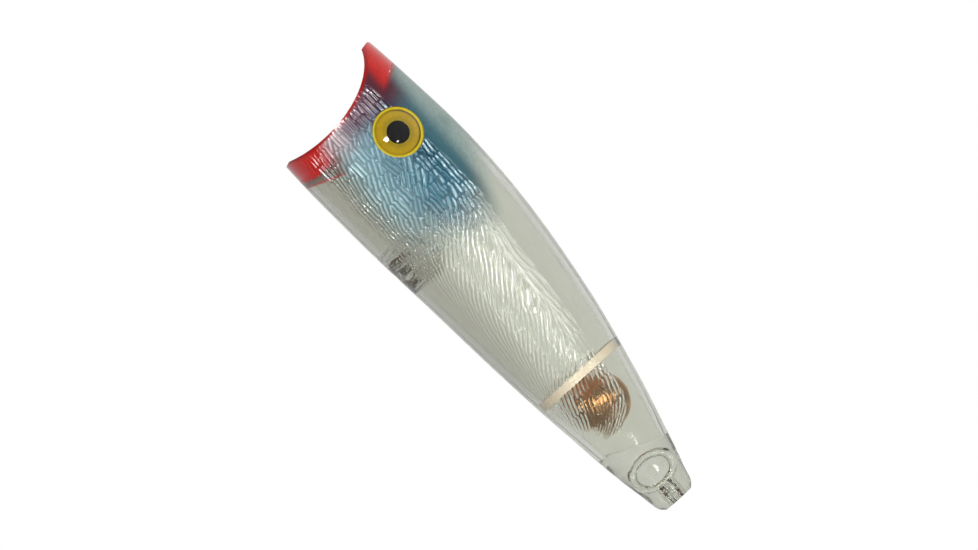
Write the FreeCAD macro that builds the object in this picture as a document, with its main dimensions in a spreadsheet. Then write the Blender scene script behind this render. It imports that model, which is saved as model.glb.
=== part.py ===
import FreeCAD, Part
import os
import Sketcher

# Topwater popper body: two clear shells that close on the plane y = 0, a mouth cup glued into their
# open front, a bulkhead plate and a rattle ball behind it, and a pair of three-piece eyes.
# Millimetres. The origin is the centre of the flat tail face, +X points out of the tail, +Z to the
# back of the lure, and the left side faces -Y. Cell names that end in _at are distances behind the
# tip of the upper lip, so the row's x is such a distance minus overall_length.

os.makedirs("parts", exist_ok=True)
doc = FreeCAD.newDocument("popper")
sheet = doc.addObject("Spreadsheet::Sheet", "Params")

DIMENSIONS = {
    "overall_length": 64.0,
    "shell_wall": 1.0,
    "open_space": 40.0,
    # Mouth: a ball-shaped bite whose rim lies on a plane that leans back at the lower lip.
    "mouth_at": 2.2,
    "mouth_height": 0.25,
    "mouth_tilt": 15.1,
    "bite_radius": 8.8,
    "bite_lead": 2.46,
    "cup_wall": 1.6,
    "tie_boss_radius": 1.8,
    "tie_boss_reach": 3.4,
    "tie_bore_radius": 0.45,
    "tie_bore_depth": 4.4,
    # Eyes
    "eye_at": 10.3,
    "eye_height": 4.43,
    "eye_side": 6.79,
    "eye_radius": 3.05,
    "eye_gap": 0.04,
    "eye_sink": 1.15,
    "eye_rise": 18.5,
    "eye_boss_radius": 3.9,
    "eye_boss_depth": 2.1,
    "iris_thickness": 0.45,
    "pupil_radius": 1.375,
    "pupil_thickness": 0.2,
    "dome_skirt": 0.25,
    "dome_height": 0.95,
    # Rattle chamber
    "bulkhead_at": 45.4,
    "bulkhead_thickness": 1.0,
    "bulkhead_height": 0.99,
    "bulkhead_tall": 6.28,
    "bulkhead_wide": 5.78,
    "bulkhead_inset": 0.45,
    "bulkhead_gap": 0.03,
    "bulkhead_chamfer": 0.15,
    "ball_radius": 3.53,
    "ball_height": 0.78,
    "ball_gap": 0.02,
    # Tail boss and the hanger pockets that the halves close over
    "tail_boss_at": 56.0,
    "tail_boss_height": 0.57,
    "tail_boss_lean": 22.7,
    "wire_radius": 0.45,
    "neck_radius": 0.9,
    "tail_ring_at": 59.3,
    "tail_ring_height": 0.0,
    "tail_ring_radius": 1.9,
    "belly_boss_at": 22.5,
    "belly_boss_height": -5.3,
    "belly_boss_radius": 3.1,
    "belly_ring_at": 22.7,
    "belly_ring_height": -4.65,
    "belly_ring_radius": 1.5,
    # Locating pins on the right shell, sockets in the left one
    "pin_radius": 0.6,
    "belly_pin_radius": 0.45,
    "pin_reach": 1.6,
    "pin_root": 0.6,
    "pin_gap": 0.03,
    "socket_extra": 0.2,
    "back_post_at": 13.0,
    "back_post_height": 7.7,
    "back_post_radius": 1.35,
}

# Cross-sections of the outer form: distance behind the upper lip, height of the centre,
# half height, half width.
STATIONS = (
    (-2.0, 0.35, 8.25, 6.75),
    (2.0, 0.52, 8.62, 7.02),
    (6.7, 0.75, 8.88, 7.28),
    (13.7, 1.20, 9.04, 7.50),
    (20.7, 1.48, 8.87, 7.45),
    (27.8, 1.60, 8.37, 7.15),
    (34.8, 1.47, 7.70, 6.72),
    (41.8, 1.22, 6.83, 6.15),
    (46.5, 0.97, 6.09, 5.62),
    (51.2, 0.72, 5.26, 4.99),
    (55.8, 0.38, 4.35, 4.17),
    (60.5, 0.12, 3.27, 3.17),
    (62.5, 0.02, 2.80, 2.74),
    (63.5, 0.00, 2.44, 2.40),
    (64.0, 0.00, 1.95, 1.93),
)
# The space inside the walls ends before the last stations, inside the solid tail.
INNER_STATIONS = 12
# Lengths below this count as zero.
TINY = 1e-9

row = 0
for name, value in DIMENSIONS.items():
    row += 1
    sheet.set(f"A{row}", name)
    sheet.set(f"B{row}", str(value))
    sheet.setAlias(f"B{row}", name)
for index, station in enumerate(STATIONS):
    for word, value in zip(("at", "centre", "tall", "wide"), station):
        row += 1
        alias = f"station_{index}_{word}"
        sheet.set(f"A{row}", alias)
        sheet.set(f"B{row}", str(value))
        sheet.setAlias(f"B{row}", alias)
doc.recompute()


def expand(expression):
    # Each word in braces is a cell of the sheet.
    return expression.replace("{", "Params.").replace("}", "")


def bind(thing, prop, expression):
    thing.setExpression(prop, expand(expression))
    return thing


def put(thing, at=None, side=None, height=None, axis=None, angle=None):
    # Binds the placement: at is a distance behind the upper lip.
    if axis is not None:
        turn = FreeCAD.Rotation(FreeCAD.Vector(*axis), 1.0)
        thing.Placement = FreeCAD.Placement(FreeCAD.Vector(0, 0, 0), turn)
        bind(thing, "Placement.Rotation.Angle", angle)
    if at is not None:
        bind(thing, "Placement.Base.x", f"({at}) - {{overall_length}}")
    if side is not None:
        bind(thing, "Placement.Base.y", side)
    if height is not None:
        bind(thing, "Placement.Base.z", height)
    return thing


def solid(kind, name, **sizes):
    thing = doc.addObject(kind, name)
    for prop, expression in sizes.items():
        bind(thing, prop, expression)
    return thing


def fuse(name, *shapes):
    thing = doc.addObject("Part::MultiFuse", name)
    thing.Shapes = list(shapes)
    return thing


def common(name, *shapes):
    thing = doc.addObject("Part::MultiCommon", name)
    thing.Shapes = list(shapes)
    return thing


def cut(name, base, tool):
    thing = doc.addObject("Part::Cut", name)
    thing.Base = base
    thing.Tool = tool
    return thing


def section(name, at, centre, tall, wide):
    # An upright ellipse across the lure, its long axis vertical.
    ring = solid("Part::Ellipse", name, MajorRadius=tall, MinorRadius=wide)
    return put(ring, at, "0", centre, (1, 0, 1), "180")


def form(name, count, inset):
    rings = []
    for index in range(count):
        cells = f"{{station_{index}_"
        rings.append(section(
            f"{name}_ring_{index}",
            cells + "at}",
            cells + "centre}",
            cells + "tall} - " + inset,
            cells + "wide} - " + inset,
        ))
    loft = doc.addObject("Part::Loft", name)
    loft.Sections = rings
    loft.Solid = True
    loft.Ruled = False
    return loft


def across(name, radius, at, height, low="-{open_space} / 2", length="{open_space}"):
    # A round bar along Y from low to low plus length.
    bar = solid("Part::Cylinder", name, Radius=radius, Height=length)
    return put(bar, at, low, height, (-1, 0, 0), "90")


# Positions along the mouth's axis, which leans up towards the tail by mouth_tilt.
def mouth_at(reach):
    return f"{{mouth_at}} + ({reach}) * cos({{mouth_tilt}} * 1deg)"


def mouth_height(reach):
    return f"{{mouth_height}} + ({reach}) * sin({{mouth_tilt}} * 1deg)"


def mouth_ball(name, radius):
    ball = solid("Part::Sphere", name, Radius=radius)
    return put(ball, mouth_at("-{bite_lead}"), "0", mouth_height("-{bite_lead}"))


def mouth_bar(name, radius, start, length):
    bar = solid("Part::Cylinder", name, Radius=radius, Height=length)
    return put(bar, mouth_at(start), "0", mouth_height(start), (0, 1, 0), "90 - {mouth_tilt}")


# Revolved pieces: a closed outline in the local XZ plane, turned about local Z. A coordinate is a
# tuple of signed cell names that are added up, and an empty one is zero.
def amount(terms):
    return sum(float(term[0] + "1") * DIMENSIONS[term[1:]] for term in terms)


def words(terms):
    return " ".join(term[0] + " Params." + term[1:] for term in terms)


def turned(label, outline, arc=None):
    body = doc.addObject("PartDesign::Body", label)
    sketch = body.newObject("Sketcher::SketchObject", label + "_outline")
    planes = [item for item in body.Origin.OriginFeatures if item.Role == "XZ_Plane"]
    sketch.AttachmentSupport = [(planes[0], "")]
    sketch.MapMode = "FlatFace"
    corners = [FreeCAD.Vector(amount(out), amount(up), 0) for out, up in outline]
    count = len(corners)
    first_end, last_end = {}, {}
    for index in range(count):
        a, b = corners[index], corners[(index + 1) % count]
        if index == arc:
            # The middle of the arc: on the circle through both ends whose centre is on local Z.
            if abs(b.x - a.x) < TINY:
                centre = (a + b) * 0.5
            else:
                rise = (b.y ** 2 - a.y ** 2 - a.x ** 2) / (2 * (b.y - a.y))
                centre = FreeCAD.Vector(0, rise, 0)
            aim = (a + b) * 0.5 - centre
            if aim.Length < TINY:
                aim = FreeCAD.Vector(1, 0, 0)
            middle = centre + aim.normalize() * (a - centre).Length
            curve = Part.Arc(a, middle, b)
        else:
            curve = Part.LineSegment(a, b)
        sketch.addGeometry(curve, False)
        made = sketch.Geometry[index]
        forward = (made.StartPoint - a).Length < (made.EndPoint - a).Length
        first_end[index], last_end[index] = (1, 2) if forward else (2, 1)
    for index in range(count):
        following = (index + 1) % count
        sketch.addConstraint(
            Sketcher.Constraint("Coincident", index, last_end[index], following, first_end[following])
        )
    for index, (out, up) in enumerate(outline):
        for kind, terms, on_axis in (("DistanceX", out, -2), ("DistanceY", up, -1)):
            if not terms:
                on = Sketcher.Constraint("PointOnObject", index, first_end[index], on_axis)
                sketch.addConstraint(on)
                continue
            size = Sketcher.Constraint(kind, -1, 1, index, first_end[index], amount(terms))
            number = sketch.addConstraint(size)
            sketch.setExpression(f"Constraints[{number}]", words(terms))
    if arc is not None:
        sketch.addConstraint(Sketcher.Constraint("PointOnObject", arc, 3, -2))
    turn = body.newObject("PartDesign::Revolution", label + "_turn")
    turn.Profile = sketch
    turn.ReferenceAxis = (sketch, ["V_Axis"])
    turn.Angle = 360
    doc.recompute()
    return body


rattle_ball = turned("rattle_ball", (((), ("-ball_radius",)), ((), ("+ball_radius",))), 0)
eye_pieces = {}
for word in ("left", "right"):
    iris = turned(f"eye_iris_{word}", (
        ((), ()),
        (("+eye_radius",), ()),
        (("+eye_radius",), ("+iris_thickness",)),
        (("+pupil_radius",), ("+iris_thickness",)),
        (("+pupil_radius",), ("+iris_thickness", "-pupil_thickness")),
        ((), ("+iris_thickness", "-pupil_thickness")),
    ))
    pupil = turned(f"eye_pupil_{word}", (
        ((), ()),
        (("+pupil_radius",), ()),
        (("+pupil_radius",), ("+pupil_thickness",)),
        ((), ("+pupil_thickness",)),
    ))
    dome = turned(f"eye_dome_{word}", (
        ((), ()),
        (("+eye_radius",), ()),
        (("+eye_radius",), ("+dome_skirt",)),
        ((), ("+dome_skirt", "+dome_height")),
    ), 2)
    eye_pieces[word] = (iris, pupil, dome)

# Outer form, cut off at the plane of the mouth's rim, and the space inside the walls.
hull_full = form("hull_full", len(STATIONS), "0")
ahead = mouth_bar("ahead", "{open_space}", "-{open_space}", "{open_space}")
hull = cut("hull", hull_full, ahead)
inner = form("inner", INNER_STATIONS, "{shell_wall}")

# Mouth cup: a concave wall of constant thickness, with a boss behind its centre for the line tie.
bite = mouth_ball("bite", "{bite_radius}")
seat = mouth_ball("seat", "{bite_radius} + {cup_wall}")
cup_block = common("cup_block", hull, seat)
tie_boss = mouth_bar(
    "tie_boss",
    "{tie_boss_radius}",
    "{bite_radius} - {bite_lead} + {cup_wall} / 2",
    "{cup_wall} / 2 + {tie_boss_reach}",
)
tie_bore = mouth_bar(
    "tie_bore",
    "{tie_bore_radius}",
    "{bite_radius} - {bite_lead} - {cup_wall}",
    "{cup_wall} + {tie_bore_depth}",
)


# Eyes: local +Z of every eye piece is the outward normal at the middle of the eye.
def eye_place(thing, side, depth):
    # depth is measured inwards from the surface at the middle of the eye.
    lift = f"{{eye_height}} - ({depth}) * sin({{eye_rise}} * 1deg)"
    out = f"{{eye_side}} - ({depth}) * cos({{eye_rise}} * 1deg)"
    return put(thing, "{eye_at}", f"{side} * ({out})", lift, (-side, 0, 0), "90 - {eye_rise}")


def eye_bar(name, side, radius, depth, length):
    bar = solid("Part::Cylinder", name, Radius=radius, Height=length)
    return eye_place(bar, side, depth)


SIDES = (("left", -1), ("right", 1))
eye_bosses = []
for word, side in SIDES:
    boss = eye_bar(f"eye_boss_{word}", side, "{eye_boss_radius}", "{eye_boss_depth}", "{eye_boss_depth}")
    eye_bosses.append(boss)
sockets_for_eyes = []
for word, side in SIDES:
    socket = eye_bar(f"eye_socket_{word}", side, "{eye_radius} + {eye_gap}", "{eye_sink}", "{open_space} / 4")
    sockets_for_eyes.append(socket)

cup_solid = fuse("cup_solid", cup_block, tie_boss)
cup_hollow = fuse("cup_hollow", bite, tie_bore, *sockets_for_eyes)
mouth_cup = cut("mouth_cup", cup_solid, cup_hollow)

# Solid regions that stand inside the walls.
belly_boss = across("belly_boss", "{belly_boss_radius}", "{belly_boss_at}", "{belly_boss_height}")
back_post = across("back_post", "{back_post_radius}", "{back_post_at}", "{back_post_height}")
tail_boss = solid("Part::Cylinder", "tail_boss", Radius="{open_space}", Height="{open_space}")
put(tail_boss, "{tail_boss_at}", "0", "{tail_boss_height}", (0, 1, 0), "90 + {tail_boss_lean}")
bosses = fuse("bosses", belly_boss, back_post, tail_boss, *eye_bosses)
cavity = cut("cavity", inner, bosses)


# Bulkhead plate across the lure, held in a groove in both walls.
def plate(name, grow, thickness):
    ring = section(
        name + "_ring",
        f"{{bulkhead_at}} - ({thickness}) / 2",
        "{bulkhead_height}",
        f"{{bulkhead_tall}} - {{bulkhead_inset}} + ({grow})",
        f"{{bulkhead_wide}} - {{bulkhead_inset}} + ({grow})",
    )
    slab = doc.addObject("Part::Extrusion", name)
    slab.Base = ring
    slab.DirMode = "Custom"
    slab.Dir = FreeCAD.Vector(1, 0, 0)
    slab.Solid = True
    return bind(slab, "LengthFwd", thickness)


rattle_bulkhead = plate("rattle_bulkhead", "0", "{bulkhead_thickness}")
groove = plate("groove", "{bulkhead_gap}", "{bulkhead_thickness} + 2 * {bulkhead_gap}")

# Hanger pockets: a ring for the wire's inner loop and a round neck out to the surface.
tail_ring = solid("Part::Torus", "tail_ring", Radius1="{tail_ring_radius}", Radius2="{wire_radius}")
put(tail_ring, "{tail_ring_at}", "0", "{tail_ring_height}", (1, 0, 0), "90")
tail_neck = solid("Part::Cylinder", "tail_neck", Radius="{neck_radius}", Height="{open_space}")
put(tail_neck, "{tail_ring_at} + {tail_ring_radius}", "0", "{tail_ring_height}", (0, 1, 0), "90")
belly_ring = solid("Part::Torus", "belly_ring", Radius1="{belly_ring_radius}", Radius2="{wire_radius}")
put(belly_ring, "{belly_ring_at}", "0", "{belly_ring_height}", (1, 0, 0), "90")
belly_neck = solid("Part::Cylinder", "belly_neck", Radius="{neck_radius}", Height="{open_space}")
put(belly_neck, "{belly_ring_at}", "0", "{belly_ring_height} - {belly_ring_radius}", (1, 0, 0), "180")

# Everything both halves are cut by, then the halves themselves.
hollows = fuse(
    "hollows",
    cavity,
    seat,
    groove,
    tail_ring,
    tail_neck,
    belly_ring,
    belly_neck,
    *sockets_for_eyes,
)
shell_pair = cut("shell_pair", hull, hollows)


def half_space(name, low):
    box = doc.addObject("Part::Box", name)
    bind(box, "Length", "{overall_length} + {open_space}")
    bind(box, "Width", "{open_space}")
    bind(box, "Height", "2 * {open_space}")
    return put(box, "-{open_space} / 2", low, "-{open_space}")


PINS = (
    ("back", "{pin_radius}", "{back_post_at}", "{back_post_height}"),
    ("tail", "{pin_radius}", "{tail_ring_at}", "{tail_ring_height}"),
    ("belly", "{belly_pin_radius}", "{belly_ring_at}", "{belly_ring_height}"),
)
pins = []
pin_sockets = []
for word, radius, at, height in PINS:
    pin = across(f"{word}_pin", radius, at, height, "-{pin_reach}", "{pin_reach} + {pin_root}")
    pins.append(pin)
    pin_socket = across(
        f"{word}_socket",
        radius + " + {pin_gap}",
        at,
        height,
        "-{pin_reach} - {socket_extra}",
        "{pin_reach} + {socket_extra} + {pin_root}",
    )
    pin_sockets.append(pin_socket)

left_raw = common("left_raw", shell_pair, half_space("left_side", "-{open_space}"))
left_shell = cut("left_shell", left_raw, fuse("left_sockets", *pin_sockets))
right_raw = common("right_raw", shell_pair, half_space("right_side", "0"))
right_shell = fuse("right_shell", right_raw, *pins)

# The ball starts just behind the plate.
put(
    rattle_ball,
    "{bulkhead_at} + {bulkhead_thickness} / 2 + {ball_radius} + {ball_gap}",
    "0",
    "{ball_height}",
)

nodes = {
    "left_shell": left_shell,
    "right_shell": right_shell,
    "mouth_cup": mouth_cup,
    "rattle_bulkhead": rattle_bulkhead,
    "rattle_ball": rattle_ball,
}
for word, side in SIDES:
    iris, pupil, dome = eye_pieces[word]
    eye_place(iris, side, "{eye_sink}")
    eye_place(pupil, side, "{eye_sink} - {iris_thickness} + {pupil_thickness}")
    eye_place(dome, side, "{eye_sink} - {iris_thickness}")
    nodes[f"eye_iris_{word}"] = iris
    nodes[f"eye_pupil_{word}"] = pupil
    nodes[f"eye_dome_{word}"] = dome
doc.recompute()

for label, node in nodes.items():
    node.Label = label
doc.recompute()
for item in doc.Objects:
    if "Invalid" in item.State or "Error" in item.State:
        raise RuntimeError(f"{item.Name} did not build: {item.State}")
for label, node in nodes.items():
    shape = node.Shape
    if shape.isNull() or not shape.isValid() or len(shape.Solids) != 1:
        raise RuntimeError(f"{label} is not one valid solid")
    shape.exportStep(f"parts/{label}.step")
    box = shape.optimalBoundingBox()
    low = f"low {box.XMin:.2f} {box.YMin:.2f} {box.ZMin:.2f}"
    high = f"high {box.XMax:.2f} {box.YMax:.2f} {box.ZMax:.2f}"
    print(f"{label}: volume {shape.Volume:.2f} mm3, {low}, {high}")
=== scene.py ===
import math

import bpy
import numpy as np
from mathutils import Matrix, Vector


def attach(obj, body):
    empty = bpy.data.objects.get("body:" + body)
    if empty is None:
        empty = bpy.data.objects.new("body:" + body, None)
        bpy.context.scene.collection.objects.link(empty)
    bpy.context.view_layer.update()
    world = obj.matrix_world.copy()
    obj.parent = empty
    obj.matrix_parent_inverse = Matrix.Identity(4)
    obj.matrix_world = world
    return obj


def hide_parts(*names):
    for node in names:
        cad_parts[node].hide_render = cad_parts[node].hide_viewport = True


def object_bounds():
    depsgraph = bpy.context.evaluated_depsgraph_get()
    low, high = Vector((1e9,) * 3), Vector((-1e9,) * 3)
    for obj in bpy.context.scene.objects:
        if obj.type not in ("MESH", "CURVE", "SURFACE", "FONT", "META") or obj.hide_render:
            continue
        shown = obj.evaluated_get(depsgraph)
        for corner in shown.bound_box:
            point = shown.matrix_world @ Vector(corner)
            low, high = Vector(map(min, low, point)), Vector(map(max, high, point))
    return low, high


# Looks for the topwater popper. Lengths are in millimetres until a piece is finished, and "at" is a
# distance behind the tip of the upper lip, as in the CAD source: row x = at - LENGTH.

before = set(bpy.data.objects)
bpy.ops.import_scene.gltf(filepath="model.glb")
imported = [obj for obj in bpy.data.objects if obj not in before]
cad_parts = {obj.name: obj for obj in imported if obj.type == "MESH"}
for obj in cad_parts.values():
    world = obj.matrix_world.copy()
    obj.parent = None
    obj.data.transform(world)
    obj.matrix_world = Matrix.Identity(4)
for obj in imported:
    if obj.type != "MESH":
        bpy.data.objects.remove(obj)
CAD_LOW, CAD_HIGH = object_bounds()

LENGTH = 64.0
WALL = 1.0
FAR = 40.0
SEAM, SEAM_GROOVE, TAIL_RIPPLE = 0.008, 0.06, 0.018
MOUTH_TILT = math.radians(15.1)
MOUTH_AT, MOUTH_HEIGHT = 2.2, 0.25
BITE_RADIUS, BITE_LEAD, CUP_WALL = 8.8, 2.46, 1.6
MOUTH_AXIS = Vector((math.cos(MOUTH_TILT), 0, math.sin(MOUTH_TILT)))
MOUTH_MIDDLE = Vector((MOUTH_AT, 0, MOUTH_HEIGHT))
BITE_CENTRE = MOUTH_MIDDLE - MOUTH_AXIS * BITE_LEAD
LIP_CORNER, LIP_WAY, LIP_CUT = Vector((-0.1, 0, 8.9)), Vector((-0.81, 0, 0.59)), 0.2
EYE_AT, EYE_HEIGHT, EYE_SIDE = 10.3, 4.43, 6.79
EYE_RISE = math.radians(18.5)
EYE_RADIUS, EYE_SINK = 3.05, 1.15
# The pupil is drawn a little small because the dome over it magnifies.
IRIS_THICKNESS, PUPIL_RADIUS, PUPIL_THICKNESS = 0.45, 1.27, 0.2
DOME_SKIRT, DOME_HEIGHT = 0.25, 0.95
BULKHEAD_AT, BULKHEAD_THICK = 45.4, 1.0
BULKHEAD_HEIGHT, BULKHEAD_TALL, BULKHEAD_WIDE = 0.99, 5.83, 5.33
BALL_RADIUS, BALL_HEIGHT = 3.53, 0.78
TAIL_BOSS_AT, TAIL_BOSS_HEIGHT, TAIL_BOSS_LEAN = 56.0, 0.57, math.radians(22.7)
TAIL_RING_AT, TAIL_RING = 59.3, 1.9
BELLY_BOSS_AT, BELLY_BOSS_HEIGHT, BELLY_BOSS = 22.5, -5.3, 3.1
BELLY_RING_AT, BELLY_RING_HEIGHT, BELLY_RING = 22.7, -4.65, 1.5
WIRE, NECK, NECK_FLUTES, FLUTE_SHARE = 0.45, 0.9, 16, 0.12
BACK_POST_AT, BACK_POST_HEIGHT, BACK_POST = 13.0, 7.7, 1.35
EYE_BOSS, EYE_BOSS_DEEP, EYE_GAP = 3.9, 2.1, 0.04
TIE_BOSS, TIE_BOSS_REACH, TIE_BORE, TIE_BORE_DEEP = 1.8, 3.4, 0.45, 4.4
PIN, BELLY_PIN, PIN_REACH, PIN_ROOT, PIN_GAP, SOCKET_EXTRA = 0.6, 0.45, 1.6, 0.6, 0.03, 0.2
GROOVE_GAP, BALL_GAP = 0.03, 0.02

# Cross-sections of the outer form: distance behind the upper lip, height of the centre,
# half height, half width.
STATIONS = np.array((
    (-2.0, 0.35, 8.25, 6.75),
    (2.0, 0.52, 8.62, 7.02),
    (6.7, 0.75, 8.88, 7.28),
    (13.7, 1.20, 9.04, 7.50),
    (20.7, 1.48, 8.87, 7.45),
    (27.8, 1.60, 8.37, 7.15),
    (34.8, 1.47, 7.70, 6.72),
    (41.8, 1.22, 6.83, 6.15),
    (46.5, 0.97, 6.09, 5.62),
    (51.2, 0.72, 5.26, 4.99),
    (55.8, 0.38, 4.35, 4.17),
    (60.5, 0.12, 3.27, 3.17),
    (62.5, 0.02, 2.80, 2.74),
    (63.5, 0.00, 2.44, 2.40),
    (64.0, 0.00, 1.95, 1.93),
))


def spline(knots, values, at):
    # Natural cubic spline through (knots, values).
    knots, values = np.asarray(knots, float), np.asarray(values, float)
    step = np.diff(knots)
    slope = np.diff(values) / step
    count = len(knots)
    system, right = np.eye(count), np.zeros(count)
    for i in range(1, count - 1):
        system[i, i - 1:i + 2] = step[i - 1], 2 * (step[i - 1] + step[i]), step[i]
        right[i] = 6 * (slope[i] - slope[i - 1])
    curve = np.linalg.solve(system, right)
    at = np.asarray(at, float)
    i = np.clip(np.searchsorted(knots, at) - 1, 0, count - 2)
    left, near = at - knots[i], knots[i + 1] - at
    low, high = curve[i] / (6 * step[i]), curve[i + 1] / (6 * step[i])
    straight = (values[i] / step[i] - curve[i] * step[i] / 6) * near
    straight = straight + (values[i + 1] / step[i] - curve[i + 1] * step[i] / 6) * left
    return low * near ** 3 + high * left ** 3 + straight


def section(at):
    # Centre height, half height and half width of the outer form.
    return (
        spline(STATIONS[:, 0], STATIONS[:, 1], at),
        spline(STATIONS[:, 0], STATIONS[:, 2], at),
        spline(STATIONS[:, 0], STATIONS[:, 3], at),
    )


def smooth(low, high, value):
    t = np.clip((np.asarray(value, float) - low) / (high - low), 0, 1)
    return t * t * (3 - 2 * t)


def chance(*keys):
    # A repeatable number from 0 to 1 for each set of whole-number keys.
    total = np.zeros(np.broadcast(*keys).shape)
    for index, key in enumerate(keys):
        total = total + np.asarray(key, float) * (12.9898 + 65.233 * index)
    return np.abs(np.sin(total) * 43758.5453) % 1.0


# Moulded scale relief, on a panel of each flank whose edges run through these (at, z) points

PANEL_TOP = (
    (0, 5.0), (3.6, 5.5), (7, 5.85), (13.4, 6.4), (20, 6.9), (30, 6.0),
    (39, 5.1), (44, 4.4), (49, 3.8), (51.5, 2.9), (53.3, 0.6), (54.5, -1.0),
)
PANEL_LOW = (
    (0, -7.2), (10, -6.6), (20, -5.9), (30, -5.1), (40, -4.5), (47, -4.3), (51, -3.7),
    (54.5, -1.2),
)
PANEL_FADE, PANEL_END = 53.0, 53.8
PATCH_LONG, PATCH_TALL = 3.0, 1.8
# Patches on the head are smaller by these shares.
HEAD_LONG, HEAD_TALL = 0.75, 0.85
RIDGE_PITCH, RIDGE_HEIGHT, RIDGE_SINK = 0.55, 0.18, 0.08
HEAD_END, MOUTH_ZONE, DIP = 24.0, 7.5, 0.24
LEVEL_LEAN, FLANK_LEAN, TAIL_LEAN, MOUTH_LEAN, STRAY_LEAN = (math.radians(a) for a in (5, 29, 17, 3, 14))


def panel_share(at, z):
    # 1 inside the flank panel that carries the relief, 0 outside it.
    top = spline(*zip(*PANEL_TOP), at)
    low = spline(*zip(*PANEL_LOW), at)
    inside = smooth(0.0, 0.16, top - z) * smooth(0.0, 1.6, z - low)
    return inside * smooth(PANEL_END, PANEL_FADE, at)


def ridge_lean(at, z, depth, lane, column):
    # Lean of a patch's ridges: level on a third of the head's patches and near the panel's edges.
    level = ((lane + 2 * column) % 3 == 0) & (at < HEAD_END)
    sloping = smooth(0.06, 0.34, depth) * (1 - 0.8 * smooth(0.72, 0.95, depth))
    lean = np.where(level, LEVEL_LEAN, FLANK_LEAN * sloping)
    lean = lean + (chance(lane, column) - 0.5) * STRAY_LEAN
    lean = np.where((at < MOUTH_ZONE) & (z > -2.2), MOUTH_LEAN, lean)
    return np.where(at > BULKHEAD_AT, TAIL_LEAN, lean)


def relief(at, y, z, run):
    # Height of the moulded relief above the plain form: patches of short ridges, each with its own
    # lean. run is the distance round the girth from the top of the panel.
    top, low = spline(*zip(*PANEL_TOP), at), spline(*zip(*PANEL_LOW), at)
    depth = (top - z) / (top - low)
    head = at < HEAD_END
    long, tall = np.where(head, HEAD_LONG, 1) * PATCH_LONG, np.where(head, HEAD_TALL, 1) * PATCH_TALL
    lane = np.floor(run / tall)
    shifted = at + long * 0.5 * (lane % 2) + 0.7
    column = np.floor(shifted / long)
    lean = ridge_lean(at, z, depth, lane, column)
    along, down = shifted - column * long, run - lane * tall
    phase = (down * np.cos(lean) - along * np.sin(lean)) / RIDGE_PITCH
    # Behind the bulkhead the ridges run on from patch to patch.
    phase = phase + np.where(at > BULKHEAD_AT, 0, chance(column, lane + 7))
    ridge = (0.5 + 0.5 * np.cos(2 * math.pi * phase)) ** 1.4
    edge = np.minimum(np.minimum(along, long - along), np.minimum(down, tall - down))
    ridge = ridge * (0.4 + 0.6 * smooth(0.0, 0.2, edge)) * (0.65 + 0.35 * chance(lane + 3, column + 5))
    # Softer on the clear flank, stronger over the ball, and none on the rim of the mouth.
    softer = 1 - 0.5 * smooth(22, 27, at) * smooth(46, 43, at) + 0.2 * smooth(44, 46, at)
    from_mouth = np.sqrt((at - BITE_CENTRE[0]) ** 2 + y ** 2 + (z - BITE_CENTRE[2]) ** 2) - BITE_RADIUS
    share = panel_share(at, z) * smooth(0.0, 0.7, from_mouth) * softer
    return share * (RIDGE_HEIGHT * ridge - RIDGE_SINK)


# Meshes as (points, faces), in millimetres behind the upper lip

def make(name, points, faces):
    mesh = bpy.data.meshes.new(name)
    mesh.from_pydata([tuple(p) for p in points], [], [tuple(f) for f in faces])
    mesh.validate()
    thing = bpy.data.objects.new(name, mesh)
    bpy.context.scene.collection.objects.link(thing)
    return thing


def vertex_array(thing):
    points = np.zeros(len(thing.data.vertices) * 3)
    thing.data.vertices.foreach_get("co", points)
    return points.reshape(-1, 3)


def grid_faces(rows, columns, closed):
    faces = []
    for i in range(rows - 1):
        for j in range(columns if closed else columns - 1):
            k = (j + 1) % columns
            faces.append((i * columns + j, (i + 1) * columns + j, (i + 1) * columns + k, i * columns + k))
    return faces


def girth_run(stations, angles, turn, at, y, z):
    # Distance round the girth from the top of the panel, the same on both flanks.
    top = spline(*zip(*PANEL_TOP), at)
    step = np.hypot(np.diff(y, axis=1), np.diff(z, axis=1))
    run = np.concatenate((np.zeros((len(stations), 1)), np.cumsum(step, axis=1)), axis=1)
    first = np.argmax(z < top, axis=1)
    run = run - run[np.arange(len(stations)), first][:, None]
    # On a full turn the second half mirrors the first.
    if angles[-1] > math.pi + 0.01:
        mirrored = np.roll(run[:, ::-1], 1, axis=1)
        run = np.where(turn > math.pi, mirrored, run)
    return run


def girth_points(stations, angles, side, inset, ridged):
    # Points of the form. Angle 0 is the back, pi the belly; side -1 is the left.
    at, turn = np.meshgrid(stations, angles, indexing="ij")
    centre, tall, wide = section(at)
    tall, wide = tall - inset, wide - inset
    y = wide * np.sin(turn)
    z = centre + tall * np.cos(turn)
    if ridged:
        half = np.minimum(turn, 2 * math.pi - turn)
        lift = relief(at, y, z, girth_run(stations, angles, turn, at, y, z)) * smooth(0.15, 0.5, half)
        ripple = np.sin(2.3 * at + 1.9 * z) * np.sin(3.1 * z - 1.3 * at)
        lift = lift + TAIL_RIPPLE * ripple * smooth(54, 57, at) * smooth(63.5, 62, at)
        lift = lift - SEAM_GROOVE * np.exp(-(y / 0.1) ** 2) * smooth(63.8, 62.5, at)
        ny, nz = np.sin(turn) / wide, np.cos(turn) / tall
        size = np.hypot(ny, nz)
        y = y + lift * ny / size
        z = z + lift * nz / size
    return np.stack((at, side * y, z), axis=-1).reshape(-1, 3)


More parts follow.
